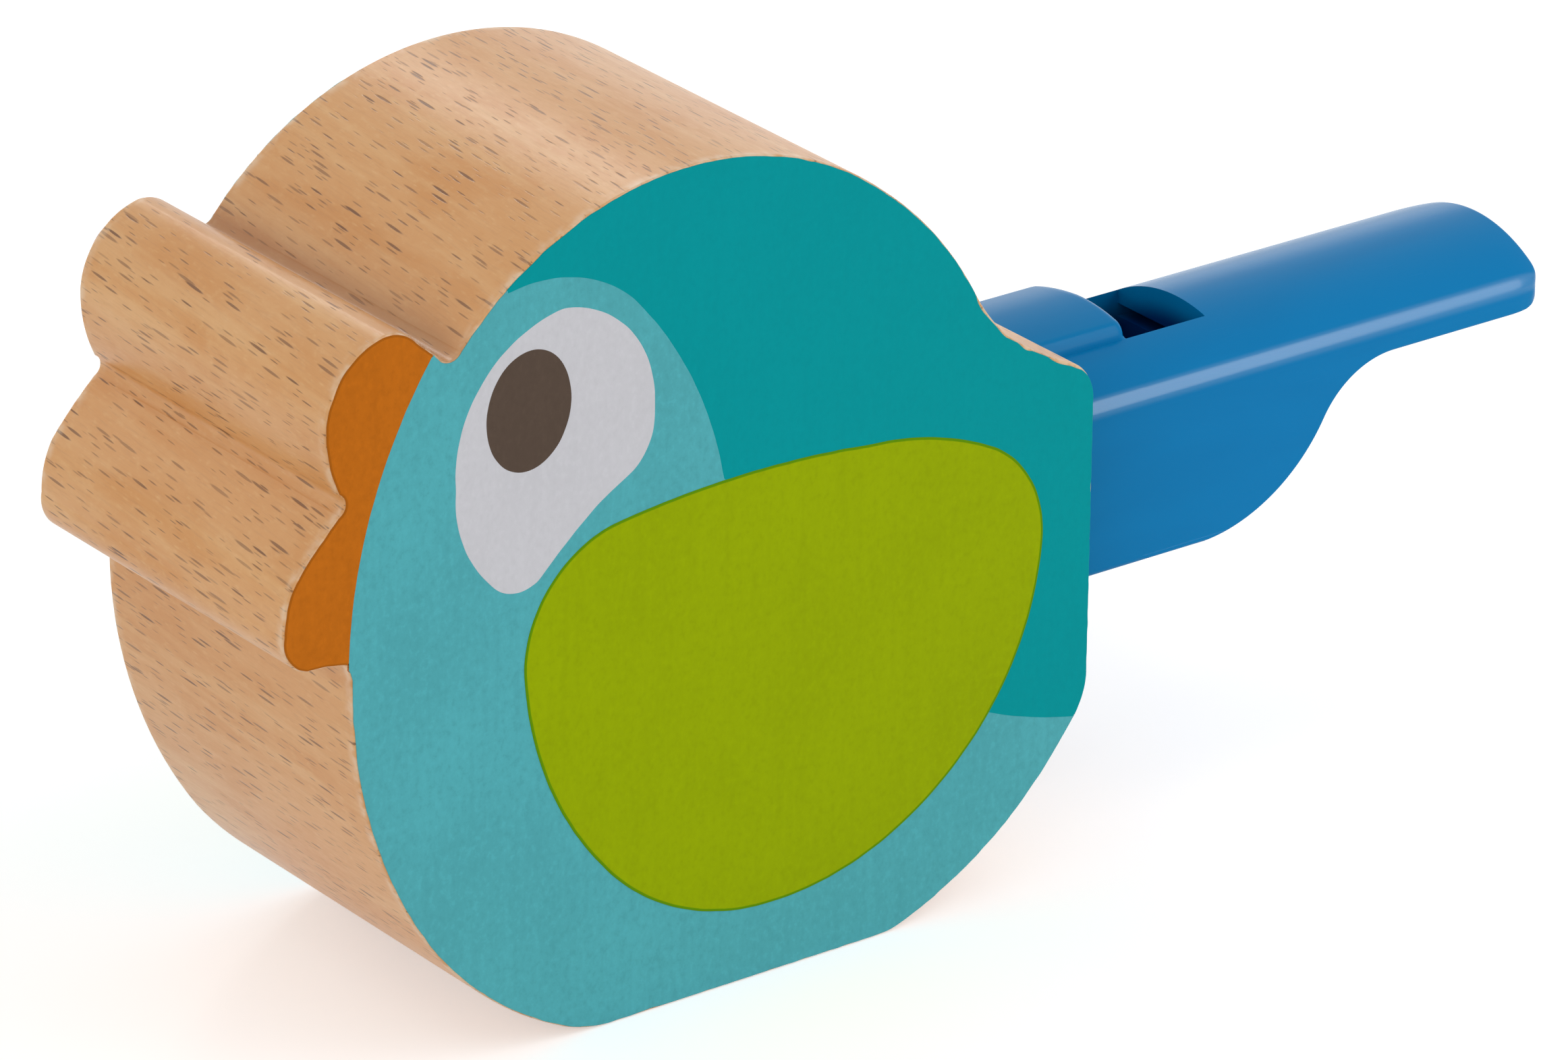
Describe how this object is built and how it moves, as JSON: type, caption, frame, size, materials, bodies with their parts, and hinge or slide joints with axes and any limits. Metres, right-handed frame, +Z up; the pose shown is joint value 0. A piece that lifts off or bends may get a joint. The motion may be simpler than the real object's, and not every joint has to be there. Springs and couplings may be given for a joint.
{
  "type": "wooden bird call",
  "caption": "Painted wooden toy bird that stands on its flat belly, with a blue plastic slide whistle as its tail; the tail slides in and out to change the note.",
  "frame": {"origin": "on the standing surface, under the middle of the whole length and thickness", "axes": "+X from the beak to the tail's mouthpiece, +Z up, Y across the bird's thickness"},
  "size_m": [0.1371, 0.035, 0.0734],
  "materials": {
    "beech": "fine sanded, bare beech with brown pore dashes along the thickness",
    "light_blue_paint": "thin satin paint on end grain",
    "teal_paint": "thin satin paint on end grain",
    "orange_paint": "thin satin paint on end grain",
    "white_paint": "thin satin paint on end grain",
    "brown_paint": "thin satin paint on end grain",
    "green_paint": "thin satin paint on end grain",
    "blue_plastic": "polished injection moulding",
    "dowel_wood": "plain turned dowel",
    "natural_plastic": "uncoloured moulding",
    "seal_rubber": "soft silicone pad",
    "screw_steel": "zinc plated"
  },
  "bodies": {
    "bird": {"wooden_body": "beech", "breast_coat": "light_blue_paint", "back_coat": "teal_paint", "beak_coat": "orange_paint", "eye_coat": "white_paint", "pupil_coat": "brown_paint", "wing_coat": "green_paint", "piston_rod": "dowel_wood", "piston_back_plate": "natural_plastic", "piston_seal": "seal_rubber", "piston_front_plate": "natural_plastic", "piston_screw": "screw_steel"},
    "tail": {"tail_shell": "blue_plastic", "windway_plug": "blue_plastic", "tail_end_cap": "blue_plastic"}
  },
  "joints": [
    {"name": "tail_slide", "type": "slide", "parent": "bird", "child": "tail", "axis": [1, 0, 0], "range_m": [-0.012, 0.015]}
  ]
}
